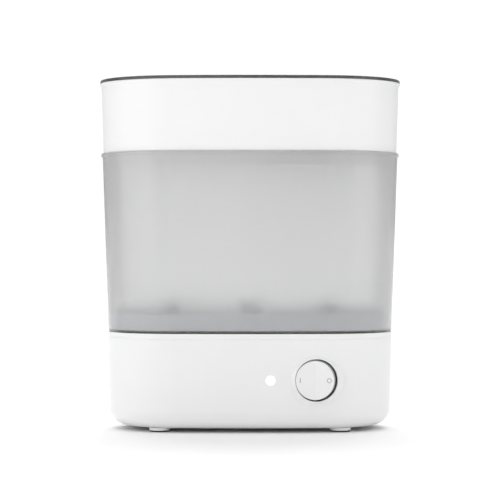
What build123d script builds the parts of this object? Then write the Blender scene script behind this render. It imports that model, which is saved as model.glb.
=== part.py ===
from build123d import *
import os
from math import asin, cos, degrees, hypot, pi, radians, sin, sqrt, tan

# Electric steam steriliser for feeding bottles: a heated base, a large frosted container with a
# bottle rack, a small white basket and a lid, all stacked on one rounded oval footprint.
# Millimetres. The origin is the centre of the footprint on the surface that the feet stand on.
# +Z is up, the front faces -Y, and +X is to the right of someone who faces the front.

# Footprint: four tangent arcs. Every wall follows this outline, drawn in by an inset.
half_width = 145.0
half_depth = 80.0
front_radius = 900.0
end_radius = (2 * front_radius * half_depth - half_depth**2 - half_width**2) / (
    2 * (front_radius - half_width)
)
end_centre = half_width - end_radius
front_centre = front_radius - half_depth

# Heights of the joints in the stack
foot_height = 4.0
housing_top = 88.6
base_top = 93.6
container_bottom = 94.0
container_top = 265.0
basket_top = 332.3
lid_top = 335.3

# Walls: thickness, draft in degrees, and inset of the outer face where the draft starts
wall = 2.2
housing_wall = 2.6
base_draft = 1.4
base_inset = 7.9  # at base_top
container_draft = 2.03
container_inset = 8.25  # at container_bottom
basket_draft = 1.8
basket_inset = 3.27  # at container_top
edge_radius = 16.0  # round bottom edge of the base
nest_gap = 0.5  # between the walls of stacked pieces

# Base deck and the water basin in it
ledge_height = 90.0  # the container stands on this ledge
ledge_inset = 11.6
basin_inset = 21.0
basin_floor = 86.2
deck_thickness = 2.2
plate_opening = 57.0  # radius of the hole in the basin that the heating plate shows through

# Heating plate stack, from the underside of the deck down
seal_thickness = 2.0
plate_radius = 66.0
plate_thickness = 1.6
spreader_radius = 54.0
spreader_thickness = 4.2
clamp_thickness = 1.5
element_radius = 42.0
element_tube = 3.3
ear_radius = 71.0

# Round power rocker on the front, square to the wall there
switch_x = 62.0
switch_z = 50.2
opening_radius = 19.9
rim_radius = 27.5
rim_height = 2.8
rocker_radius = 17.9  # at the two ends of the face
rocker_reach = 13.5  # from the pivot to those ends
rocker_swing = 8.0  # each way from the middle, and the slope of each half of the face
skirt_reach = 3.0  # from the pivot to the rocker's lower edge
pivot_depth = -9.0  # from the wall's face
pivot_radius = 1.5
running_gap = 0.05
lever_swing = 5.0
lever_depth = -20.0
mark_reach = 13.7  # from the crease to the middle of each mark
mark_depth = 0.25

# Indicator, feet, cord entry and fasteners
lens_x = 19.2
lens_z = 50.0
lens_radius = 4.2
foot_x = 85.6
foot_y = 42.0
foot_radius = 10.0
pad_thickness = 1.4
gland_x = -50.0
gland_z = 26.0
cord_radius = 3.5
gland_radius = 6.0
clamp_y = 50.0
clamp_pillar = 9.0  # from the cord's middle to each of the clamp's pillars
board_y = -60.0
cover_inset = 46.0
ledge_thickness = 2.4
post_height = 30.0  # the housing's posts meet the deck's bosses here
screw_sink = 18.0  # depth of the pockets for the deck's screws
pilot_radius = 1.3
shank_radius = 1.28
lead_radius = 1.2

corners = [(-1, -1), (-1, 1), (1, -1), (1, 1)]
foot_points = [(x * foot_x, y * foot_y) for x, y in corners]
deck_screw_points = [(x * 104.0, y * 25.0) for x, y in corners]
cover_screw_points = [(x * 40.0, y * 28.0) for x, y in corners] + [(-93.0, 0.0), (93.0, 0.0)]
clamp_screw_points = [(gland_x - clamp_pillar, clamp_y), (gland_x + clamp_pillar, clamp_y)]

# Bottle posts on the rack
post_pitch_x = 76.0
post_pitch_y = 70.0
post_top = 129.0
rack_upstand = 112.0

bottom = (Align.CENTER, Align.CENTER, Align.MIN)
top = (Align.CENTER, Align.CENTER, Align.MAX)


def at_height(points, height):
    """Locations for a list of X, Y points at one height."""
    return Locations(*[(x, y, height) for x, y in points])


def oval(inset, height):
    """The footprint drawn in by an inset, as a face at a height."""
    reach = (front_radius - inset) / hypot(end_centre, front_centre)
    x = end_centre * reach
    y = front_centre * (reach - 1)
    with BuildSketch(Plane.XY.offset(height)) as outline:
        with BuildLine():
            ThreePointArc((-x, -y), (0, inset - half_depth), (x, -y))
            ThreePointArc((x, -y), (half_width - inset, 0), (x, y))
            ThreePointArc((x, y), (0, half_depth - inset), (-x, y))
            ThreePointArc((-x, y), (inset - half_width, 0), (-x, -y))
        make_face()
    return outline.sketch


def drift(height, draft):
    """How far a drafted wall moves sideways over a height."""
    return height * tan(radians(draft))


def base_face(height):
    """Inset of the base's outer face at a height."""
    return base_inset + drift(base_top - height, base_draft)


def container_face(height):
    """Inset of the large container's outer face at a height."""
    return container_inset - drift(height - container_bottom, container_draft)


def basket_face(height):
    """Inset of the small basket's outer face at a height."""
    return basket_inset - drift(height - container_top, basket_draft)


def front_face(x, height):
    """Y of the base's front face at an X and a height."""
    inset = base_face(height)
    return front_centre - sqrt((front_radius - inset) ** 2 - x**2)


def upright_plane(origin, angle):
    """A plane that faces the front, turned about Z by an angle in degrees."""
    turn = radians(angle)
    return Plane(origin=origin, x_dir=(cos(turn), sin(turn), 0), z_dir=(sin(turn), -cos(turn), 0))


def section_of(plane):
    """The plane that holds the given plane's X axis and its normal, for outlines to revolve."""
    return Plane(origin=plane.origin, x_dir=plane.x_dir, z_dir=-plane.y_dir)


def finish(part, name):
    """Labels a finished piece and writes its file."""
    part.label = name
    export_step(part, f"parts/{name}.step")


os.makedirs("parts", exist_ok=True)

# The rocker's planes. The wall there is turned by the angle of the front arc.
switch_angle = degrees(asin(switch_x / (front_radius - base_face(switch_z))))
switch_face = upright_plane((switch_x, front_face(switch_x, switch_z), switch_z), switch_angle)
pivot_point = (switch_face.offset(pivot_depth)).origin
rocker_plane = upright_plane(pivot_point, switch_angle - rocker_swing)
crease_reach = rocker_reach - rocker_radius * tan(radians(rocker_swing))
crease_point = rocker_plane.offset(crease_reach).origin
left_half = upright_plane(crease_point, switch_angle)
right_half = upright_plane(crease_point, switch_angle - 2 * rocker_swing)
cup_front = -5.0
cup_floor = -22.0
cup_back = -24.0
cup_radius = 22.4

# ---------------------------------------------------------------- base housing
# White moulded shell: drafted wall, large round bottom edge, raised rim round the switch.
with BuildPart() as housing_cavity:
    cavity_floor = foot_height + housing_wall
    extrude(
        oval(base_face(cavity_floor) + housing_wall, cavity_floor),
        amount=housing_top,
        taper=-base_draft,
    )
    fillet(housing_cavity.edges().group_by(Axis.Z)[0], radius=edge_radius - housing_wall)

clamp_top = gland_z + cord_radius

with BuildPart() as base_housing:
    extrude(
        oval(base_face(foot_height), foot_height),
        amount=housing_top - foot_height,
        taper=-base_draft,
    )
    fillet(base_housing.edges().group_by(Axis.Z)[0], radius=edge_radius)
    chamfer(base_housing.edges().group_by(Axis.Z)[-1], length=0.3)
    add(housing_cavity.part, mode=Mode.SUBTRACT)
    # opening in the bottom, with a ledge inside it for the cover's screws
    extrude(oval(cover_inset, foot_height - 1), amount=housing_wall + 2, mode=Mode.SUBTRACT)
    with BuildPart(mode=Mode.PRIVATE) as ledge:
        extrude(oval(cover_inset - 3, cavity_floor), amount=ledge_thickness)
        extrude(oval(cover_inset + 9, cavity_floor), amount=ledge_thickness, mode=Mode.SUBTRACT)
    add(ledge.part)
    with at_height(cover_screw_points, cavity_floor):
        Cylinder(4, 10, align=bottom)
    with at_height(cover_screw_points, cavity_floor):
        Cylinder(pilot_radius, 12, align=bottom, mode=Mode.SUBTRACT)
    # posts under the deck, with clearance holes for its screws
    with at_height(deck_screw_points, foot_height):
        Cylinder(4.5, post_height - foot_height, align=bottom)
    with at_height(deck_screw_points, foot_height):
        Cylinder(1.8, post_height, align=bottom, mode=Mode.SUBTRACT)
        Cylinder(3.4, screw_sink, align=bottom, mode=Mode.SUBTRACT)
    # sockets for the stems of the feet
    with at_height(foot_points, foot_height - 1):
        Cylinder(4, housing_wall + 3, align=bottom, mode=Mode.SUBTRACT)
    # raised rim round the switch: steep lip, hollow slope outside, collar inside
    with BuildSketch(section_of(switch_face)):
        with BuildLine():
            lip = rim_height - 0.4
            crest = (opening_radius + 1, rim_height)
            Line((opening_radius, cup_front), (opening_radius, lip))
            TangentArc((opening_radius, lip), crest, tangent=(0, 1))
            TangentArc((rim_radius, -0.8), crest, tangent=(-1, 0))
            Polyline(
                (rim_radius, -0.8),
                (rim_radius, -2.0),
                (cup_radius, -2.0),
                (cup_radius, cup_front),
                (opening_radius, cup_front),
            )
        make_face()
    revolve(axis=Axis(switch_face.origin, switch_face.z_dir))
    with BuildSketch(switch_face.offset(cup_front - 3)):
        Circle(opening_radius)
    extrude(amount=20, mode=Mode.SUBTRACT)
    # hole for the indicator lens, and two pegs for its board
    with Locations(Location((lens_x, -half_depth, lens_z), (-90, 0, 0))):
        Cylinder(lens_radius + 0.05, 20, align=bottom, mode=Mode.SUBTRACT)
    with Locations(*[Location((lens_x + dx, board_y, lens_z), (90, 0, 0)) for dx in (-11, 11)]):
        Cylinder(2, 9.5, align=bottom)
    # hole for the cord gland, and the saddle and pillars of the cord clamp
    with Locations(Location((gland_x, half_depth, gland_z), (90, 0, 0))):
        Cylinder(gland_radius, 20, align=bottom, mode=Mode.SUBTRACT)
    with Locations((gland_x, clamp_y, cavity_floor)):
        Box(2 * clamp_pillar, 5, gland_z - cord_radius - cavity_floor, align=bottom)
    with at_height(clamp_screw_points, cavity_floor):
        Cylinder(3.6, clamp_top - cavity_floor, align=bottom)
    with at_height(clamp_screw_points, clamp_top):
        Cylinder(pilot_radius, 12, align=top, mode=Mode.SUBTRACT)
finish(base_housing.part, "base_housing")

# ---------------------------------------------------------------- base deck
# White cover of the base: rim band, ledge for the container, and the water basin.
boss_drop = seal_thickness + plate_thickness
deck_under = basin_floor - deck_thickness
plate_under = deck_under - boss_drop
with BuildPart() as base_deck:
    extrude(oval(base_face(housing_top), housing_top), amount=base_top - housing_top, taper=-base_draft)
    fillet(base_deck.edges().group_by(Axis.Z)[-1], radius=0.7)
    chamfer(base_deck.edges().group_by(Axis.Z)[0], length=0.3)
    extrude(oval(ledge_inset, ledge_height), amount=5, mode=Mode.SUBTRACT)
    # skirt that plugs into the housing
    skirt_bottom = housing_top - 7
    skirt_inset = base_face(skirt_bottom) + housing_wall + 0.15
    extrude(oval(skirt_inset, skirt_bottom), amount=housing_top - skirt_bottom)
    extrude(oval(skirt_inset + 2, skirt_bottom), amount=6, mode=Mode.SUBTRACT)
    # basin
    extrude(oval(basin_inset - deck_thickness, deck_under), amount=housing_top - deck_under)
    with BuildPart(mode=Mode.PRIVATE) as basin:
        extrude(oval(basin_inset, basin_floor), amount=10, taper=-20)
        fillet(basin.edges().group_by(Axis.Z)[0], radius=1.5)
    add(basin.part, mode=Mode.SUBTRACT)
    with Locations((0, 0, basin_floor)):
        Cylinder(plate_opening, 20, mode=Mode.SUBTRACT)
    # bosses for the clamp ring, and long bosses that meet the housing's posts
    with PolarLocations(ear_radius, 3):
        with Locations((0, 0, deck_under)):
            Cylinder(4, boss_drop, align=top)
            Cylinder(pilot_radius, boss_drop, align=top, mode=Mode.SUBTRACT)
    with at_height(deck_screw_points, deck_under):
        Cylinder(4.5, deck_under - post_height, align=top)
    with at_height(deck_screw_points, post_height):
        Cylinder(pilot_radius, 14, align=bottom, mode=Mode.SUBTRACT)
finish(base_deck.part, "base_deck")

# ---------------------------------------------------------------- heating stack
with BuildPart() as plate_seal:
    with BuildSketch(Plane.XY.offset(deck_under)):
        Circle(plate_radius - 1)
        Circle(plate_opening + 1, mode=Mode.SUBTRACT)
    extrude(amount=-seal_thickness)
finish(plate_seal.part, "plate_seal")

with BuildPart() as heating_plate:
    with BuildSketch(Plane.XY.offset(plate_under)):
        Circle(plate_radius)
    extrude(amount=plate_thickness)
    with Locations((0, 0, plate_under + plate_thickness)):
        Cylinder(plate_opening - 4, 0.8, align=bottom)
    fillet(heating_plate.edges().group_by(Axis.Z)[-1], radius=0.6)
finish(heating_plate.part, "heating_plate")

element_height = plate_under - spreader_thickness
with BuildPart() as heat_spreader:
    with Locations((0, 0, plate_under)):
        Cylinder(spreader_radius, spreader_thickness, align=top)
    with Locations((0, 0, element_height)):
        Torus(element_radius, element_tube + running_gap, mode=Mode.SUBTRACT)
finish(heat_spreader.part, "heat_spreader")

element_gap = 28.0  # half of the angle between the element's two ends
pin_length = 14.0
with BuildPart() as heating_element:
    with BuildSketch(Plane.XZ):
        with Locations((element_radius, element_height)):
            Circle(element_tube)
    revolve(axis=Axis.Z, revolution_arc=360 - 2 * element_gap)
    for angle in (0, 360 - 2 * element_gap):
        end = Vector(element_radius, 0, element_height).rotate(Axis.Z, angle)
        with Locations(end):
            Sphere(element_tube)
            Cylinder(element_tube, pin_length, align=top)
            Cylinder(1.1, pin_length + 5, align=top)
# the gap between the ends faces the front
heating_element.part = heating_element.part.rotate(Axis.Z, element_gap - 90)
finish(heating_element.part, "heating_element")

with BuildPart() as clamp_ring:
    with BuildSketch(Plane.XY.offset(plate_under)):
        Circle(plate_radius)
        with PolarLocations(ear_radius, 3):
            Circle(5)
        with PolarLocations(plate_radius, 3):
            Rectangle(12, 10)
        Circle(spreader_radius + 2, mode=Mode.SUBTRACT)
        with PolarLocations(ear_radius, 3):
            Circle(2, mode=Mode.SUBTRACT)
    extrude(amount=-clamp_thickness)
finish(clamp_ring.part, "clamp_ring")


def pan_screw(head_radius, head_height, length):
    """A cross-head screw: the head's underside at the origin, its shank up and its head down."""
    with BuildPart() as screw:
        Cylinder(head_radius, head_height, align=top)
        fillet(screw.edges().group_by(Axis.Z)[0], radius=0.45 * head_height)
        with Locations((0, 0, -head_height)):
            Box(1.4 * head_radius, 0.7, 1.2, mode=Mode.SUBTRACT)
            Box(0.7, 1.4 * head_radius, 1.2, mode=Mode.SUBTRACT)
        Cylinder(shank_radius, length, align=bottom)
    return screw.part


with BuildPart() as clamp_ring_screws:
    with PolarLocations(ear_radius, 3):
        with Locations((0, 0, plate_under - clamp_thickness)):
            add(pan_screw(3.2, 2.0, 4.8))
finish(clamp_ring_screws.part, "clamp_ring_screws")

spreader_under = plate_under - spreader_thickness
thermostat_height = 9.0
with BuildPart() as thermostat:
    with Locations((0, -8, spreader_under)):
        Cylinder(8.2, thermostat_height, align=top)
    fillet(thermostat.edges().group_by(Axis.Z)[0], radius=1)
    with Locations((0, -8, spreader_under)):
        Box(24, 7, 0.8, align=top)
    with Locations(*[(dx, -8, spreader_under - thermostat_height + 1) for dx in (-5, 5)]):
        Box(0.8, 6.3, 9, align=top)
finish(thermostat.part, "thermostat")

fuse_radius = 2.0
fuse_height = spreader_under - fuse_radius - 0.4
with BuildPart() as thermal_fuse:
    with Locations(Location((0, 16, fuse_height), (0, 90, 0))):
        Cylinder(fuse_radius, 12)
        Cylinder(0.5, 24)
finish(thermal_fuse.part, "thermal_fuse")

with BuildPart() as fuse_clip:
    with BuildSketch(Plane.YZ.offset(-3)):
        with Locations((16, fuse_height)):
            Circle(fuse_radius + 0.6)
            with Locations((0, 1.2)):
                Rectangle(9, 2.4)
            Circle(fuse_radius, mode=Mode.SUBTRACT)
    extrude(amount=6)
    split(bisect_by=Plane.XY.offset(spreader_under), keep=Keep.BOTTOM)
finish(fuse_clip.part, "fuse_clip")

# ---------------------------------------------------------------- power switch
# Round rocker: two flat halves meet at a crease, and the left half is pressed in.
cone_slope = tan(radians(rocker_swing))
with BuildPart() as rocker:
    with BuildSketch(section_of(rocker_plane)):
        with BuildLine():
            Polyline(
                (0, skirt_reach),
                (rocker_radius + (rocker_reach - skirt_reach) * cone_slope, skirt_reach),
                (rocker_radius, rocker_reach),
                (rocker_radius, rocker_reach + 1),
                (0, rocker_reach + 1),
                close=True,
            )
        make_face()
    revolve(axis=Axis(rocker_plane.origin, rocker_plane.z_dir))
    with BuildSketch(section_of(rocker_plane)) as face_cut:
        with BuildLine():
            Polyline(
                (0, crease_reach),
                (30, crease_reach + 30 * cone_slope),
                (30, 30),
                (-30, 30),
                (-30, crease_reach + 30 * cone_slope),
                close=True,
            )
        make_face()
    extrude(amount=30, both=True, mode=Mode.SUBTRACT)
    face_edges = rocker.edges().filter_by(
        lambda edge: edge.geom_type != GeomType.LINE
        and (edge.center() - rocker_plane.origin).dot(rocker_plane.z_dir) > crease_reach - 1
    )
    fillet(face_edges, radius=0.5)
    with BuildSketch(rocker_plane.offset(skirt_reach)):
        Circle(rocker_radius - 1.6)
    extrude(amount=crease_reach - skirt_reach - 1.8, mode=Mode.SUBTRACT)
    # centre post for the plunger, and two lugs with the pivot stubs
    with BuildSketch(rocker_plane.offset(-4)):
        Circle(3.4)
        Circle(2.1, mode=Mode.SUBTRACT)
    extrude(amount=crease_reach + 4 - 1)
    with BuildSketch(rocker_plane.offset(-2.6)):
        with Locations((0, -16.6), (0, 16.6)):
            Rectangle(7, 2.6)
    extrude(amount=crease_reach - 0.5)
    with BuildSketch(Plane.XY.offset(switch_z - 21.6)):
        with Locations((pivot_point.X, pivot_point.Y)):
            Circle(pivot_radius)
    extrude(amount=6)
    with BuildSketch(Plane.XY.offset(switch_z + 21.6)):
        with Locations((pivot_point.X, pivot_point.Y)):
            Circle(pivot_radius)
    extrude(amount=-6)
    # shallow recesses for the two marks
    with BuildSketch(left_half):
        with Locations((-mark_reach, 0)):
            SlotOverall(4.6, 0.9, rotation=90)
    extrude(amount=-mark_depth, mode=Mode.SUBTRACT)
    with BuildSketch(right_half):
        with Locations((mark_reach, 0)):
            Circle(2.3)
            Circle(1.6, mode=Mode.SUBTRACT)
    extrude(amount=-mark_depth, mode=Mode.SUBTRACT)
finish(rocker.part, "rocker")

with BuildPart() as rocker_marks:
    with BuildSketch(left_half):
        with Locations((-mark_reach, 0)):
            SlotOverall(4.6, 0.9, rotation=90)
    extrude(amount=-mark_depth)
    with BuildSketch(right_half):
        with Locations((mark_reach, 0)):
            Circle(2.3)
            Circle(1.6, mode=Mode.SUBTRACT)
    extrude(amount=-mark_depth)
finish(rocker_marks.part, "rocker_marks")

with BuildPart() as rocker_plunger:
    with BuildSketch(rocker_plane.offset(-9)):
        Circle(1.95)
    extrude(amount=12)
    fillet(rocker_plunger.edges().sort_by(Axis.Y)[-1], radius=1.2)
finish(rocker_plunger.part, "rocker_plunger")

with BuildPart() as switch_body:
    with BuildSketch(switch_face.offset(cup_back)):
        Circle(cup_radius)
    extrude(amount=cup_front - cup_back)
    with BuildSketch(switch_face.offset(cup_floor)):
        Circle(cup_radius - 2)
    extrude(amount=cup_front - cup_floor, mode=Mode.SUBTRACT)
    with BuildSketch(Plane.XY.offset(switch_z - 30)):
        with Locations((pivot_point.X, pivot_point.Y)):
            Circle(pivot_radius + running_gap)
    extrude(amount=60, mode=Mode.SUBTRACT)
    with BuildSketch(switch_face.offset(cup_back)):
        with Locations((0, 0), (8, 0)):
            Rectangle(0.8, 6.3)
    extrude(amount=cup_floor - cup_back, mode=Mode.SUBTRACT)
finish(switch_body.part, "switch_body")

lever_plane = upright_plane(switch_face.offset(lever_depth).origin, switch_angle + lever_swing)
with BuildPart() as contact_lever:
    with BuildSketch(lever_plane.offset(0.5)):
        SlotOverall(20, 6)
    extrude(amount=1)
    with BuildSketch(lever_plane.offset(0.5)):
        with Locations((8, 0)):
            Circle(1.5)
    extrude(amount=-0.5)
finish(contact_lever.part, "contact_lever")

blade_back = -32.0
with BuildPart() as switch_terminals:
    with BuildSketch(switch_face.offset(blade_back)):
        Rectangle(0.8, 6.3)
    extrude(amount=lever_depth - blade_back)
    with BuildSketch(switch_face.offset(blade_back)):
        with Locations((8, 0)):
            Rectangle(0.8, 6.3)
    extrude(amount=cup_floor - blade_back)
    with BuildSketch(switch_face.offset(cup_floor)):
        with Locations((8, 0)):
            Circle(1.8)
    extrude(amount=0.5)
finish(switch_terminals.part, "switch_terminals")

# ---------------------------------------------------------------- indicator
lens_front = front_face(lens_x, lens_z) - 0.3
with BuildPart() as indicator_lens:
    with BuildSketch(Plane.YZ.offset(lens_x)):
        with BuildLine():
            Polyline(
                (lens_front + 0.5, lens_z),
                (lens_front + 0.5, lens_z + lens_radius),
                (lens_front + 3.9, lens_z + lens_radius),
                (lens_front + 3.9, lens_z + lens_radius + 1.6),
                (lens_front + 5.1, lens_z + lens_radius + 1.6),
                (lens_front + 5.1, lens_z),
                close=True,
            )
        make_face()
        with BuildLine():
            ThreePointArc(
                (lens_front + 0.5, lens_z - lens_radius),
                (lens_front, lens_z),
                (lens_front + 0.5, lens_z + lens_radius),
            )
            Line((lens_front + 0.5, lens_z + lens_radius), (lens_front + 0.5, lens_z - lens_radius))
        make_face()
        with Locations((0, lens_z)):
            Rectangle(300, 20, align=(Align.CENTER, Align.MAX), mode=Mode.SUBTRACT)
    revolve(axis=Axis((lens_x, 0, lens_z), (0, 1, 0)))
finish(indicator_lens.part, "indicator_lens")

with BuildPart() as indicator_board:
    with Locations((lens_x, board_y, lens_z)):
        Box(30, 1.6, 14, align=(Align.CENTER, Align.MIN, Align.CENTER))
    with Locations((lens_x + 6, board_y + 1.6, lens_z)):
        Box(5, 2, 2.4, align=(Align.CENTER, Align.MIN, Align.CENTER))
finish(indicator_board.part, "indicator_board")

with BuildPart() as indicator_lamp:
    with Locations(Location((lens_x, board_y, lens_z), (90, 0, 0))):
        Cylinder(1.5, 3.4, align=bottom)
        Cylinder(1.9, 1, align=bottom)
    fillet(indicator_lamp.edges().sort_by(Axis.Y)[0], radius=1.2)
finish(indicator_lamp.part, "indicator_lamp")

# ---------------------------------------------------------------- bottom cover, feet, cord entry
with BuildPart() as bottom_cover:
    extrude(oval(cover_inset + 0.3, foot_height), amount=housing_wall)
    chamfer(bottom_cover.edges().group_by(Axis.Z)[0], length=0.4)
    with at_height(cover_screw_points, foot_height - 1):
        Cylinder(1.6, housing_wall + 2, align=bottom, mode=Mode.SUBTRACT)
        Cylinder(3.4, 2.2, align=bottom, mode=Mode.SUBTRACT)
    with BuildSketch(Plane.XY.offset(foot_height)):
        with GridLocations(9, 0, 5, 1):
            SlotOverall(24, 2.6, rotation=90)
    extrude(amount=housing_wall, mode=Mode.SUBTRACT)
finish(bottom_cover.part, "bottom_cover")

with BuildPart() as cover_screws:
    with at_height(cover_screw_points, foot_height + 1.2):
        add(pan_screw(3.0, 1.1, 9))
finish(cover_screws.part, "cover_screws")

with BuildPart() as deck_screws:
    with at_height(deck_screw_points, foot_height + screw_sink):
        add(pan_screw(3.2, 2.0, 20))
finish(deck_screws.part, "deck_screws")

with BuildPart() as feet:
    with at_height(foot_points, pad_thickness):
        Cylinder(foot_radius, foot_height - pad_thickness, align=bottom)
    chamfer(feet.edges().group_by(Axis.Z)[0], length=0.4)
    with at_height(foot_points, foot_height):
        Cylinder(4, housing_wall + 1.5, align=bottom)
finish(feet.part, "feet")

with BuildPart() as foot_pads:
    with at_height(foot_points, 0):
        Cylinder(foot_radius - 0.8, pad_thickness, align=bottom)
    chamfer(foot_pads.edges().group_by(Axis.Z)[0], length=0.3)
finish(foot_pads.part, "foot_pads")

gland_wall = -front_face(gland_x, gland_z)
with BuildPart() as cord_gland:
    with BuildSketch(Plane.YZ.offset(gland_x)):
        with BuildLine():
            Polyline(
                (gland_wall - 9, gland_z + cord_radius),
                (gland_wall + 4, gland_z + cord_radius),
                (gland_wall + 4, gland_z + cord_radius + 2.5),
                (gland_wall + 0.6, gland_z + cord_radius + 5),
                (gland_wall + 0.6, gland_z + gland_radius - running_gap),
                (gland_wall - 9, gland_z + gland_radius - running_gap),
                close=True,
            )
        make_face()
    revolve(axis=Axis((gland_x, 0, gland_z), (0, 1, 0)))
finish(cord_gland.part, "cord_gland")

with BuildPart() as cord_clamp:
    with Locations((gland_x, clamp_y, clamp_top)):
        Box(2 * clamp_pillar + 8, 7, 3, align=bottom)
    fillet(cord_clamp.edges().filter_by(Axis.Z), radius=2)
    with at_height(clamp_screw_points, clamp_top):
        Cylinder(1.6, 3, align=bottom, mode=Mode.SUBTRACT)
finish(cord_clamp.part, "cord_clamp")

with BuildPart() as cord_clamp_screws:
    with Locations(*[Location((x, y, clamp_top + 3), (180, 0, 0)) for x, y in clamp_screw_points]):
        add(pan_screw(3.0, 1.8, 12))
finish(cord_clamp_screws.part, "cord_clamp_screws")

block_x = -4.0
block_y = 47.0
block_height = 12.0
block_ways = 3
way_pitch = 10.0
with BuildPart() as terminal_block:
    with Locations((block_x, block_y, cavity_floor)):
        Box(block_ways * way_pitch, 12, block_height, align=bottom)
    with BuildSketch(Plane.XZ.offset(-block_y + 6)):
        with Locations((block_x, cavity_floor + 6)):
            with GridLocations(way_pitch, 0, block_ways, 1):
                Circle(2)
    extrude(amount=-12, mode=Mode.SUBTRACT)
    with Locations((block_x, block_y, cavity_floor + block_height)):
        with GridLocations(way_pitch, 6, block_ways, 2):
            Cylinder(1.8, 4, align=top, mode=Mode.SUBTRACT)
finish(terminal_block.part, "terminal_block")


# ---------------------------------------------------------------- leads
def lead(points, bend):
    """An insulated wire along straight runs joined by arcs."""
    with BuildPart() as wire:
        with BuildLine() as route:
            FilletPolyline(*points, radius=bend)
        with BuildSketch(Plane(origin=route.line @ 0, z_dir=route.line % 0)):
            Circle(lead_radius)
        sweep()
    length = sum(edge.length for edge in route.edges())
    section = pi * lead_radius**2
    print(f"lead of {length:.0f} mm, volume over section {wire.part.volume / length / section:.3f}")
    return wire.part


way_height = cavity_floor + 6
way_face = block_y - 6
block_ways_x = [block_x - way_pitch, block_x, block_x + way_pitch]
blade_plane = switch_face.offset(blade_back)
blade_in = blade_plane.from_local_coords((8, 0, 0))
blade_out = blade_plane.origin
tab_height = spreader_under - thermostat_height - 8
pin_angle = radians(element_gap)
pin_x = element_radius * sin(pin_angle)
pin_y = -element_radius * cos(pin_angle)
pin_height = element_height - pin_length - 5

finish(
    lead(
        [
            (block_ways_x[2], way_face, way_height),
            (block_ways_x[2], 22, way_height),
            (30, 0, 26),
            (blade_in.X - 1.5, -14, blade_in.Z),
            (blade_in.X, blade_in.Y, blade_in.Z),
        ],
        9,
    ),
    "live_lead",
)
finish(
    lead(
        [
            (blade_out.X, blade_out.Y, blade_out.Z),
            (blade_out.X - 1.5, -20, blade_out.Z),
            (32, -10, 46),
            (5, -8, 42),
            (5, -8, tab_height),
        ],
        6,
    ),
    "switched_lead",
)
finish(
    lead(
        [
            (-5, -8, tab_height),
            (-5, -8, 46),
            (-18, 2, 46),
            (-22, 16, 52),
            (-22, 16, fuse_height),
            (-12, 16, fuse_height),
        ],
        3,
    ),
    "fuse_lead",
)
finish(
    lead(
        [
            (12, 16, fuse_height),
            (22, 16, fuse_height),
            (26, 8, 52),
            (30, -20, 46),
            (pin_x, pin_y, 44),
            (pin_x, pin_y, pin_height),
        ],
        3,
    ),
    "element_lead",
)
finish(
    lead(
        [
            (-pin_x, pin_y, pin_height),
            (-pin_x, pin_y, 38),
            (-26, -12, 26),
            (block_ways_x[0], 22, way_height),
            (block_ways_x[0], way_face, way_height),
        ],
        8,
    ),
    "neutral_lead",
)
finish(
    lead(
        [
            (lens_x - 6, board_y + 1.6, lens_z - 3),
            (lens_x - 6, board_y + 12, lens_z - 3),
            (4, -30, 26),
            (block_ways_x[1], 12, way_height),
            (block_ways_x[1], way_face, way_height),
        ],
        5,
    ),
    "indicator_lead",
)

# ---------------------------------------------------------------- large container
# Frosted see-through wall, open at the top, with a skirt that nests in the deck.
lip_height = 3.6
lip_inset = 1.15
floor_opening_inset = 30.0
nest_inset = ledge_inset + nest_gap
container_floor = container_bottom + wall
with BuildPart() as large_container:
    extrude(
        oval(container_inset, container_bottom),
        amount=container_top - container_bottom,
        taper=-container_draft,
    )
    fillet(large_container.edges().group_by(Axis.Z)[0], radius=1.2)
    extrude(oval(lip_inset, container_top - lip_height), amount=lip_height)
    lip_edges = large_container.edges().group_by(Axis.Z)
    fillet(lip_edges[-1], radius=0.8)
    extrude(oval(nest_inset, ledge_height), amount=container_bottom - ledge_height + wall)
    extrude(
        oval(container_face(container_floor) + wall, container_floor),
        amount=container_top,
        taper=-container_draft,
        mode=Mode.SUBTRACT,
    )
    extrude(
        oval(nest_inset + wall, ledge_height),
        amount=container_bottom - ledge_height,
        mode=Mode.SUBTRACT,
    )
    extrude(oval(floor_opening_inset, ledge_height), amount=20, mode=Mode.SUBTRACT)
finish(large_container.part, "large_container")

# ---------------------------------------------------------------- bottle rack
# Drop-in tray: slotted plate, low rim, and hollow posts that hold bottles upside down.
rack_thickness = 2.0
rack_inset = container_face(container_floor) + wall + 0.4
post_foot = 11.5
post_head = 8.5
post_wall = 1.8
post_points = [
    (column * post_pitch_x, row * post_pitch_y / 2) for column in (-1, 0, 1) for row in (-1, 1)
]
post_bottom = container_floor + rack_thickness


def post_outline(shrink, low, high):
    """Half section of a post: tapered side and domed head, drawn in by a wall thickness."""
    with BuildSketch(Plane.XZ) as outline:
        with BuildLine():
            foot = post_foot - shrink
            head = post_head - shrink
            Polyline((0, high), (0, low), (foot, low), (head, high - head))
            TangentArc((0, high), (head, high - head), tangent=(-1, 0))
        make_face()
    return outline.sketch


with BuildPart() as post:
    revolve(post_outline(0, post_bottom, post_top), axis=Axis.Z)
    revolve(
        post_outline(post_wall, container_floor, post_top - post_wall),
        axis=Axis.Z,
        mode=Mode.SUBTRACT,
    )
    with BuildSketch(Plane.XZ):
        with Locations((0, post_bottom + 13)):
            SlotOverall(16, 4, rotation=90)
    extrude(amount=20, both=True, mode=Mode.SUBTRACT)

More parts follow.
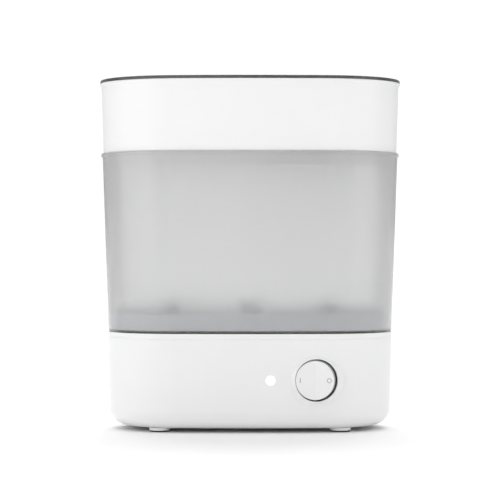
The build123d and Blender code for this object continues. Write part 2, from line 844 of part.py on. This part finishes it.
with BuildPart() as bottle_rack:
    rack_height = rack_upstand - container_floor
    extrude(oval(rack_inset, container_floor), amount=rack_height, taper=-container_draft)
    extrude(
        oval(rack_inset + rack_thickness, post_bottom),
        amount=rack_upstand,
        taper=-container_draft,
        mode=Mode.SUBTRACT,
    )
    fillet(bottle_rack.edges().group_by(Axis.Z)[-1], radius=0.6)
    with Locations(*[(x, y, 0) for x, y in post_points]):
        with Locations((0, 0, container_floor)):
            Cylinder(post_foot - post_wall, rack_thickness, align=bottom, mode=Mode.SUBTRACT)
        add(post.part)
    # steam slots between the posts and along the sides
    with BuildSketch(Plane.XY.offset(container_floor)):
        with GridLocations(post_pitch_x, 0, 4, 1):
            with GridLocations(9, 0, 3, 1):
                SlotOverall(60, 4, rotation=90)
        with Locations(*[(x, 0) for x in (-post_pitch_x, 0, post_pitch_x)]):
            with GridLocations(9, 0, 3, 1):
                SlotOverall(26, 4, rotation=90)
    extrude(amount=rack_thickness, mode=Mode.SUBTRACT)
finish(bottle_rack.part, "bottle_rack")

# ---------------------------------------------------------------- small basket
# White ring that stands on the container's lip, with a skirt and a slotted floor inside it.
basket_floor = 252.0
bead_height = 2.0
plug_inset = container_face(container_top) + wall + nest_gap
with BuildPart() as small_basket:
    extrude(oval(basket_inset, container_top), amount=basket_top - container_top, taper=-basket_draft)
    fillet(small_basket.edges().group_by(Axis.Z)[0], radius=0.7)
    extrude(oval(0, basket_top - bead_height), amount=bead_height)
    fillet(small_basket.edges().group_by(Axis.Z)[-1], radius=0.5)
    extrude(
        oval(plug_inset + drift(container_top - basket_floor, container_draft), basket_floor),
        amount=container_top - basket_floor,
        taper=-container_draft,
    )
    fillet(small_basket.edges().group_by(Axis.Z)[0], radius=1.5)
    extrude(
        oval(basket_inset + wall, container_top),
        amount=basket_top,
        taper=-basket_draft,
        mode=Mode.SUBTRACT,
    )
    extrude(
        oval(plug_inset + wall + 0.3, basket_floor + wall),
        amount=basket_top,
        taper=-0.5,
        mode=Mode.SUBTRACT,
    )
    with BuildSketch(Plane.XY.offset(basket_floor)):
        with GridLocations(0, 60, 1, 2):
            with GridLocations(12, 0, 17, 1):
                SlotOverall(46, 5, rotation=90)
    extrude(amount=wall, mode=Mode.SUBTRACT)
finish(small_basket.part, "small_basket")

# ---------------------------------------------------------------- lid
# Smoke-grey cover: thin flange over the basket's rim, sunken panel with a grip and steam slots.
panel_under = 321.0
panel_inset = 15.0
lid_wall = 2.0
lid_plug_inset = basket_face(basket_top) + wall + nest_gap
grip_length = 96.0
grip_width = 20.0
with BuildPart() as lid:
    extrude(oval(0, basket_top), amount=lid_top - basket_top)
    fillet(lid.edges().group_by(Axis.Z)[-1], radius=1.0)
    with BuildPart(mode=Mode.PRIVATE) as locating_rib:
        extrude(oval(lid_plug_inset, basket_top), amount=-5, taper=2)
        extrude(oval(lid_plug_inset + 1.6, basket_top), amount=-5, mode=Mode.SUBTRACT)
    add(locating_rib.part)
    with BuildPart(mode=Mode.PRIVATE) as pan:
        extrude(oval(panel_inset, panel_under), amount=lid_top - 0.6 - panel_under, taper=-4)
        fillet(pan.edges().group_by(Axis.Z)[0], radius=3)
    add(pan.part)
    with BuildPart(mode=Mode.PRIVATE) as pan_hollow:
        extrude(oval(panel_inset + lid_wall, panel_under + lid_wall), amount=20, taper=-4)
        fillet(pan_hollow.edges().group_by(Axis.Z)[0], radius=2)
    add(pan_hollow.part, mode=Mode.SUBTRACT)
    with BuildSketch(Plane.XY.offset(lid_top - 0.6)):
        SlotOverall(grip_length, grip_width)
    extrude(amount=panel_under + lid_wall - lid_top + 0.6, taper=-3)
    grip_top = lid.faces().filter_by(Plane.XY).group_by(Axis.Z)[-1].sort_by(SortBy.AREA)[0]
    fillet(grip_top.edges(), radius=2)
    with BuildSketch(Plane.XY.offset(panel_under)):
        SlotOverall(grip_length - 2 * lid_wall, grip_width - 2 * lid_wall)
    extrude(amount=lid_top - 0.6 - lid_wall - panel_under, mode=Mode.SUBTRACT)
    with BuildSketch(Plane.XY.offset(panel_under)):
        with Locations((-88, 0), (88, 0)):
            with GridLocations(9, 0, 3, 1):
                SlotOverall(22, 4, rotation=90)
    extrude(amount=lid_wall, mode=Mode.SUBTRACT)
finish(lid.part, "lid")
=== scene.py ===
import math

import bpy
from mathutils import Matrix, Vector

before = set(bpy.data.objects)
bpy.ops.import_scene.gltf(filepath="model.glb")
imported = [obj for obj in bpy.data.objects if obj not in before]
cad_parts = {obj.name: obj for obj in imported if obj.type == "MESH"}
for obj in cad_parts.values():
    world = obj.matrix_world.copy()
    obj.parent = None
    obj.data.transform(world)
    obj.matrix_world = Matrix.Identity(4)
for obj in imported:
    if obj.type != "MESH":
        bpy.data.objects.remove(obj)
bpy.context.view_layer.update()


# ---------------------------------------------------------------- base housing
# The lower shell of the heated base: one injection moulding in white polypropylene with a large
# round bottom edge and a raised collar round the switch. Everything else is screwed or snapped
# into it, so the material and the tools for all the other materials start here.
def linear(hex_colour):
    """An sRGB colour such as F4F4F2 as linear red, green, blue and alpha."""
    channels = [int(hex_colour[i : i + 2], 16) / 255 for i in (0, 2, 4)]
    return [c / 12.92 if c <= 0.04045 else ((c + 0.055) / 1.055) ** 2.4 for c in channels] + [1.0]


def add(tree, kind, sockets=None, **settings):
    """Adds a node with its settings, and gives each named socket a value or a link."""
    made = tree.nodes.new(kind)
    for name, value in settings.items():
        setattr(made, name, value)
    for name, value in (sockets or {}).items():
        if isinstance(value, bpy.types.NodeSocket):
            tree.links.new(value, made.inputs[name])
        else:
            made.inputs[name].default_value = value
    return made


def mm(length):
    """Scale of a texture whose features are this many millimetres across."""
    return 1000.0 / length


def new_material(name):
    """A material, its node tree, and the place on the object in metres, as in the shared frame."""
    material = bpy.data.materials.new(name)
    material.use_nodes = True
    tree = material.node_tree
    return material, tree, add(tree, "ShaderNodeTexCoord").outputs["Object"]


def dress(tree, tones, drift, gloss, sheen, relief, depth, span=(0.3, 0.7), strength=1.0):
    """Wires a tree's surface: drift mixes the two tones, sheen runs the roughness from gloss[0] to
    gloss[1] while it goes through span, and relief is a height map depth metres deep."""
    surface = tree.nodes["Principled BSDF"]
    colour = add(
        tree,
        "ShaderNodeMix",
        {"Factor": drift, "A": linear(tones[0]), "B": linear(tones[1])},
        data_type="RGBA",
    )
    polish = add(
        tree,
        "ShaderNodeMapRange",
        {
            "Value": sheen,
            "From Min": span[0],
            "From Max": span[1],
            "To Min": gloss[0],
            "To Max": gloss[1],
        },
    )
    bump = add(
        tree, "ShaderNodeBump", {"Height": relief, "Strength": strength, "Distance": depth}
    )
    tree.links.new(colour.outputs["Result"], surface.inputs["Base Color"])
    tree.links.new(polish.outputs["Result"], surface.inputs["Roughness"])
    tree.links.new(bump.outputs["Normal"], surface.inputs["Normal"])
    return surface


def moulded(name, dark, light, gloss, grain, relief, patch=35.0, **shader):
    """A moulded or extruded plastic or rubber.

    dark and light are the two ends of the slight colour drift of the melt, gloss the lowest and
    highest roughness, grain the size of the tool's texture and relief its depth in millimetres.
    patch is the size of the drift in millimetres, and shader holds more of the shader's sockets.
    """
    material, tree, place = new_material(name)
    flow = add(tree, "ShaderNodeTexNoise", {"Vector": place, "Scale": mm(patch), "Detail": 3.0})
    texture = add(tree, "ShaderNodeTexNoise", {"Vector": place, "Scale": mm(grain), "Detail": 2.0})
    drift = flow.outputs["Fac"]
    surface = dress(
        tree, (dark, light), drift, gloss, drift, texture.outputs["Fac"], relief / 1000
    )
    for socket, value in shader.items():
        surface.inputs[socket.replace("_", " ")].default_value = value
    return material


def coat(material, *nodes):
    """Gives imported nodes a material."""
    for name in nodes:
        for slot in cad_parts[name].material_slots:
            slot.material = material


# Satin polypropylene: the tool is fine spark-eroded, so highlights are broad and soft, the melt is
# slightly see-through at its edges, and the colour is a clean white that drifts by a shade.
white_polypropylene = moulded(
    "white_satin_polypropylene",
    dark="EAEAEA",
    light="EEEEEE",
    gloss=(0.29, 0.33),
    grain=0.9,  # real 0.25 mm, drawn coarser so that it shows
    relief=0.006,
    IOR=1.49,
    Subsurface_Weight=0.12,
    Subsurface_Radius=(0.0030, 0.0029, 0.0028),
    Subsurface_Scale=1.0,
)
coat(white_polypropylene, "base_housing")


# ---------------------------------------------------------------- cord entry and mains terminals
# A soft PVC gland is pushed through the back wall, and behind it a nylon bridge with two screws
# grips the supply cord. The cord's cores end in a three-way nylon terminal block.
# Soft PVC: dull, a little rubbery, with the flow marks of a thick moulding.
grey_soft_pvc = moulded(
    "grey_soft_pvc",
    dark="B4B6B7",
    light="C0C2C3",
    gloss=(0.50, 0.62),
    grain=0.8,
    relief=0.015,
    patch=6.0,
    IOR=1.53,
)
coat(grey_soft_pvc, "cord_gland")

# Natural nylon: creamy, slightly waxy, see-through in thin walls.
natural_nylon = moulded(
    "natural_nylon",
    dark="DDD9CC",
    light="E8E5DA",
    gloss=(0.38, 0.50),
    grain=0.6,
    relief=0.010,
    patch=8.0,
    IOR=1.53,
    Subsurface_Weight=0.2,
    Subsurface_Radius=(0.0020, 0.0018, 0.0014),
    Subsurface_Scale=1.0,
)
coat(natural_nylon, "cord_clamp", "terminal_block", "rocker_plunger")


def metal(name, dark, light, gloss, stroke, depth, stretch=(1.0, 1.0, 1.0)):
    """A drawn, rolled, plated or cast metal: two tones of the bare surface, the roughness between
    gloss[0] and gloss[1], and strokes or grains of a width and depth in millimetres. stretch
    shortens the pattern along each axis, so a small number draws long strokes that way."""
    material, tree, place = new_material(name)
    along = add(tree, "ShaderNodeMapping", {"Vector": place, "Scale": stretch}).outputs["Vector"]
    strokes = add(tree, "ShaderNodeTexNoise", {"Vector": along, "Scale": mm(stroke), "Detail": 4.0})
    cloud = add(tree, "ShaderNodeTexNoise", {"Vector": place, "Scale": mm(12), "Detail": 2.0})
    drawn = strokes.outputs["Fac"]
    surface = dress(tree, (dark, light), cloud.outputs["Fac"], gloss, drawn, drawn, depth / 1000)
    surface.inputs["Metallic"].default_value = 1.0
    return material


# Zinc-plated steel: bluish bright silver, spangled where the plating is thicker.
zinc_plated_steel = metal(
    "zinc_plated_steel",
    dark="A9AFB4",
    light="C9CED1",
    gloss=(0.24, 0.42),
    stroke=0.8,
    depth=0.006,
)
coat(zinc_plated_steel, "cord_clamp_screws")


# ---------------------------------------------------------------- power switch
# A round rocker on two stubs in a phenolic cup that is pressed in behind the collar. A sprung
# plunger in the rocker pushes a brass lever over onto one of two brass blades.
# Phenolic: hard, black and half matt, with the mottling of the filler.
black_phenolic = moulded(
    "black_phenolic",
    dark="1B1B1C",
    light="262627",
    gloss=(0.40, 0.55),
    grain=0.5,
    relief=0.012,
    patch=5.0,
    IOR=1.62,
)
coat(black_phenolic, "switch_body")

# Bare brass strip: warm yellow, with rolling marks along it and a first dulling of the surface.
rolled_brass = metal(
    "rolled_brass",
    dark="B99A5A",
    light="D9BE7C",
    gloss=(0.22, 0.40),
    stroke=0.35,
    depth=0.004,
    stretch=(0.1, 1.0, 1.0),
)
coat(rolled_brass, "switch_terminals", "contact_lever")

# Glossy ABS: the rocker is polished harder than the housing, so its two halves catch crisp light.
white_glossy_abs = moulded(
    "white_glossy_abs",
    dark="EAEAEA",
    light="EEEEEE",
    gloss=(0.20, 0.26),
    grain=2.5,
    relief=0.003,
    patch=14.0,
    IOR=1.54,
    Subsurface_Weight=0.08,
    Subsurface_Radius=(0.0020, 0.0020, 0.0018),
    Subsurface_Scale=1.0,
)
coat(white_glossy_abs, "rocker")

# Pad-printed ink in the two recesses: mid grey and matt, thinner where the pad lifted.
grey_pad_ink = moulded(
    "grey_pad_ink",
    dark="9C9E9F",
    light="A9ABAC",
    gloss=(0.55, 0.70),
    grain=0.4,
    relief=0.004,
    patch=2.0,
    IOR=1.50,
)
coat(grey_pad_ink, "rocker_marks")


# ---------------------------------------------------------------- indicator
# A milky polycarbonate lens snaps into the front wall, and a lamp on a small glass-epoxy board
# lights it from behind. The light is on, so the whole lens glows evenly.
lit_polycarbonate = moulded(
    "milky_polycarbonate_lit",
    dark="FAFAF8",
    light="FFFFFE",
    gloss=(0.25, 0.32),
    grain=1.2,
    relief=0.002,
    patch=4.0,
    IOR=1.585,
    Emission_Color=linear("FFFFFF"),
    Emission_Strength=1.1,
)
coat(lit_polycarbonate, "indicator_lens", "indicator_lamp")

# Glass-epoxy laminate under green solder mask: the weave shows as a faint grid in the gloss.
green_solder_mask, board, place = new_material("green_solder_mask_on_glass_epoxy")
weave = add(board, "ShaderNodeTexChecker", {"Vector": place, "Scale": mm(0.8)}).outputs["Fac"]
flow = add(board, "ShaderNodeTexNoise", {"Vector": place, "Scale": mm(4)}).outputs["Fac"]
surface = dress(
    board, ("0E4A24", "1A6A36"), flow, (0.22, 0.38), flow, weave, 0.00001, (0.0, 1.0), 0.4
)
surface.inputs["IOR"].default_value = 1.52
coat(green_solder_mask, "indicator_board")


# ---------------------------------------------------------------- heating stack
# The heating plate is pressed up against a silicone seal under the basin by a steel ring and three
# screws. An aluminium disc below it holds the bent tubular element, a thermostat and a thermal fuse.
# Polished stainless steel: the sheet is spun, so fine rings run round the plate and the light on
# it draws two fans.
stainless_plate, plate, place = new_material("spun_stainless_steel")
rings = add(
    plate,
    "ShaderNodeTexWave",
    {"Vector": place, "Scale": mm(1.6) / 20, "Distortion": 0.6, "Detail": 3.0},
    wave_type="RINGS",
    rings_direction="Z",
).outputs["Fac"]
blush = add(
    plate, "ShaderNodeTexNoise", {"Vector": place, "Scale": mm(25), "Detail": 2.0}
).outputs["Fac"]
surface = dress(
    plate, ("B9B7B1", "D2D1CE"), blush, (0.19, 0.26), blush, rings, 0.00002, (0.0, 1.0), 0.5
)
surface.inputs["Metallic"].default_value = 1.0
surface.inputs["Anisotropic"].default_value = 0.5
coat(stainless_plate, "heating_plate")

# Silicone rubber: milky, soft and matt.
milky_silicone = moulded(
    "milky_silicone_rubber",
    dark="C9C8C2",
    light="D6D5D0",
    gloss=(0.50, 0.65),
    grain=0.7,
    relief=0.010,
    patch=10.0,
    IOR=1.41,
    Subsurface_Weight=0.4,
    Subsurface_Radius=(0.003, 0.003, 0.0025),
    Subsurface_Scale=1.0,
)
coat(milky_silicone, "plate_seal")

# Cast aluminium: pale and sandy, with a coarse skin from the mould.
cast_aluminium = metal(
    "cast_aluminium",
    dark="B4B6B8",
    light="CDCFD0",
    gloss=(0.38, 0.58),
    stroke=1.2,
    depth=0.05,
)
coat(cast_aluminium, "heat_spreader")

# Steel sheath that has been red hot: brown to blue-grey bands of temper colour.
tempered_sheath = metal(
    "heat_tinted_steel_sheath",
    dark="5C5148",
    light="7C7A7C",
    gloss=(0.34, 0.50),
    stroke=0.6,
    depth=0.01,
)
coat(tempered_sheath, "heating_element")
coat(zinc_plated_steel, "clamp_ring", "clamp_ring_screws", "fuse_clip")
coat(black_phenolic, "thermostat")
coat(rolled_brass, "thermal_fuse")


# ---------------------------------------------------------------- leads
# Six insulated wires join the terminal block, the switch, the fuse, the element and the board:
# brown and blue PVC for the mains side, heat-proof white silicone near the plate.
def insulation(name, dark, light):
    """Extruded insulation: an even colour with faint drawing lines and a low sheen."""
    return moulded(
        name, dark, light, gloss=(0.36, 0.46), grain=0.7, relief=0.008, patch=9.0, IOR=1.53
    )


coat(insulation("brown_pvc_insulation", "4A2A18", "593522"), "live_lead", "switched_lead")
coat(insulation("blue_pvc_insulation", "1A3F8C", "23509F"), "neutral_lead")
white_silicone = insulation("white_silicone_insulation", "D9D9D4", "E4E4E0")
coat(white_silicone, "fuse_lead", "element_lead", "indicator_lead")


# ---------------------------------------------------------------- base deck
# The white cover of the base. It plugs into the housing, is held by four screws from below, and
# its basin takes the measured water over the heating plate.
coat(white_polypropylene, "base_deck")
coat(zinc_plated_steel, "deck_screws")


# ---------------------------------------------------------------- bottom cover and feet
# A slotted white plate closes the opening that the heater goes in through. Four stub feet are
# plugged into the housing, each with a glued-on rubber pad.
coat(white_polypropylene, "bottom_cover", "feet")
coat(zinc_plated_steel, "cover_screws")

# Moulded rubber: near black, quite matt, dusty where it has touched a table.
black_rubber = moulded(
    "black_moulded_rubber",
    dark="161616",
    light="242424",
    gloss=(0.70, 0.85),
    grain=0.6,
    relief=0.03,
    patch=7.0,
    IOR=1.52,
)
coat(black_rubber, "foot_pads")


# ---------------------------------------------------------------- large container
# The bottle container: a tall open ring of natural polypropylene with a lip at the top and a steam
# opening in its floor. Its wall is frosted on the outside, so what stands inside shows as shadows.
# Frosted polypropylene: the moulded skin has a broad soft gloss, but the milky melt and the etched
# inside scatter what goes through, so posts and far walls only show as soft shadows.
frosted_polypropylene = moulded(
    "frosted_natural_polypropylene",
    dark="FBFBFB",
    light="FEFEFE",
    gloss=(0.29, 0.35),
    grain=0.8,  # real 0.15 mm, drawn coarser so that it shows
    relief=0.010,
    IOR=1.49,
    Transmission_Weight=1.0,
    Coat_Weight=1.0,
    Coat_Roughness=0.22,
    Coat_IOR=1.49,
)
melt = frosted_polypropylene.node_tree
scattered_share = 0.12
haze = add(melt, "ShaderNodeBsdfTranslucent", {"Color": linear("FAFAFA")})
milky = add(
    melt,
    "ShaderNodeMixShader",
    {
        0: scattered_share,
        1: melt.nodes["Principled BSDF"].outputs["BSDF"],
        2: haze.outputs["BSDF"],
    },
)
# The melt swallows a little light on the way, so the wall is darker where it is seen edge on.
tint = add(melt, "ShaderNodeVolumeAbsorption", {"Color": linear("E0E0E0"), "Density": 38.0})
result = melt.nodes["Material Output"]
melt.links.new(milky.outputs["Shader"], result.inputs["Surface"])
melt.links.new(tint.outputs["Volume"], result.inputs["Volume"])
coat(frosted_polypropylene, "large_container")


# ---------------------------------------------------------------- bottle rack
# A pale blue-grey moulding that drops into the container: a slotted plate with six hollow posts
# that the bottles are put over, neck down.
# Satin coloured polypropylene: the pigment is even, and the posts are polished by wear.
blue_grey_polypropylene = moulded(
    "blue_grey_polypropylene",
    dark="D8DCE0",
    light="DEE1E5",
    gloss=(0.36, 0.46),
    grain=0.9,
    relief=0.008,
    IOR=1.49,
)
coat(blue_grey_polypropylene, "bottle_rack")


# ---------------------------------------------------------------- small basket
# The white ring at the top, for teats and rings. Its skirt nests inside the container's lip, and
# its floor is slotted so that the steam can rise.
coat(white_polypropylene, "small_basket")


# ---------------------------------------------------------------- lid
# A shallow smoke-grey pan with a rim that lies on the basket, two groups of steam slots, and a bar
# across the pan to grip it by.
# Smoke-tinted clear polypropylene: dark where it is looked at edge on, because the light has
# gone a long way through the tint, and clear enough from above to see the basket.
smoke_polypropylene = moulded(
    "smoke_clear_polypropylene",
    dark="8A8F8D",
    light="929795",
    gloss=(0.14, 0.20),
    grain=3.0,
    relief=0.002,
    patch=20.0,
    IOR=1.49,
    Transmission_Weight=0.85,
)
coat(smoke_polypropylene, "lid")


# ---------------------------------------------------------------- table, camera and light
# A plain white table in a soft white studio tent: five upright soft boxes in an arc in front of the
# object, the brightest to the left, a wide sky above and behind it, and a long lens at the height
# of the container's middle.
floor_mesh = bpy.data.meshes.new("table")
reach = 9.0
floor_mesh.from_pydata(
    [(-reach, -reach, 0), (reach, -reach, 0), (reach, reach, 0), (-reach, reach, 0)],
    [],
    [(0, 1, 2, 3)],
)
table = bpy.data.objects.new("table", floor_mesh)
# Matt white paper: even, without gloss.
paper = moulded(
    "white_paper_sweep", "FBFBFB", "FDFDFD", gloss=(0.9, 0.95), grain=3.0, relief=0.0, patch=90.0
)
floor_mesh.materials.append(paper)


def put(thing, place, turned):
    """Links an object into the scene at a place, turned by an Euler rotation."""
    thing.location = place
    thing.rotation_euler = turned
    bpy.context.scene.collection.objects.link(thing)


put(table, (0.0, 0.0, 0.0), (0.0, 0.0, 0.0))

lens_distance = 1.946
lens_height = 0.179
camera = bpy.data.cameras.new("camera")
camera.sensor_width = 36.0
camera.lens = 144.5
camera.shift_y = -0.0146
camera_object = bpy.data.objects.new("camera", camera)
put(camera_object, (0.0, -lens_distance, lens_height), (math.radians(90), 0.0, 0.0))
bpy.context.scene.camera = camera_object

middle = Vector((0.0, 0.0, 0.17))
stand_off = 2.5
box_height = 1.6
box_middle = 0.35


def soft_box(name, bearing, spread, brightness):
    """An upright soft box that faces the object. bearing is in degrees to the camera's right,
    spread is its width in degrees as the object sees it, and brightness is that of its face."""
    light = bpy.data.lights.new(name, "AREA")
    light.shape = "RECTANGLE"
    light.size = 2 * stand_off * math.tan(math.radians(spread / 2))
    light.size_y = box_height
    light.energy = math.pi * light.size * light.size_y * brightness
    turn = math.radians(bearing)
    place = Vector((stand_off * math.sin(turn), -stand_off * math.cos(turn), box_middle))
    box = bpy.data.objects.new(name, light)
    box.visible_camera = False
    put(box, place, (middle - place).to_track_quat("-Z", "Y").to_euler())


def sky_light(name, tip, spread, strength):
    """A very large far light overhead, tipped back from the camera by a negative tip in degrees."""
    light = bpy.data.lights.new(name, "SUN")
    light.energy = strength
    light.angle = math.radians(spread)
    put(bpy.data.objects.new(name, light), (0.0, 0.0, 0.0), (math.radians(tip), 0.0, 0.0))


soft_box("left_side", -80, 30, 1.00)
soft_box("left_front", -50, 30, 1.40)
soft_box("front", -15, 34, 0.92)
soft_box("right_front", 28, 30, 0.33)
soft_box("right_side", 68, 44, 0.90)
sky_light("top_sky", 0, 75, 1.01)
sky_light("back_sky", -35, 50, 1.13)

# The tent's cloth: what it gives the object, and the plain white that it shows behind it.
tent_light = 0.50
tent_white = 1.05
tent = bpy.data.worlds.new("tent")
tent.use_nodes = True
bpy.context.scene.world = tent
cloth = tent.node_tree
seen = add(cloth, "ShaderNodeLightPath")
strength = add(
    cloth,
    "ShaderNodeMix",
    {"Factor": seen.outputs["Is Camera Ray"], "A": tent_light, "B": tent_white},
)
background = cloth.nodes["Background"]
background.inputs["Color"].default_value = linear("FFFFFF")
cloth.links.new(strength.outputs["Result"], background.inputs["Strength"])
bpy.context.scene.view_settings.view_transform = "Standard"
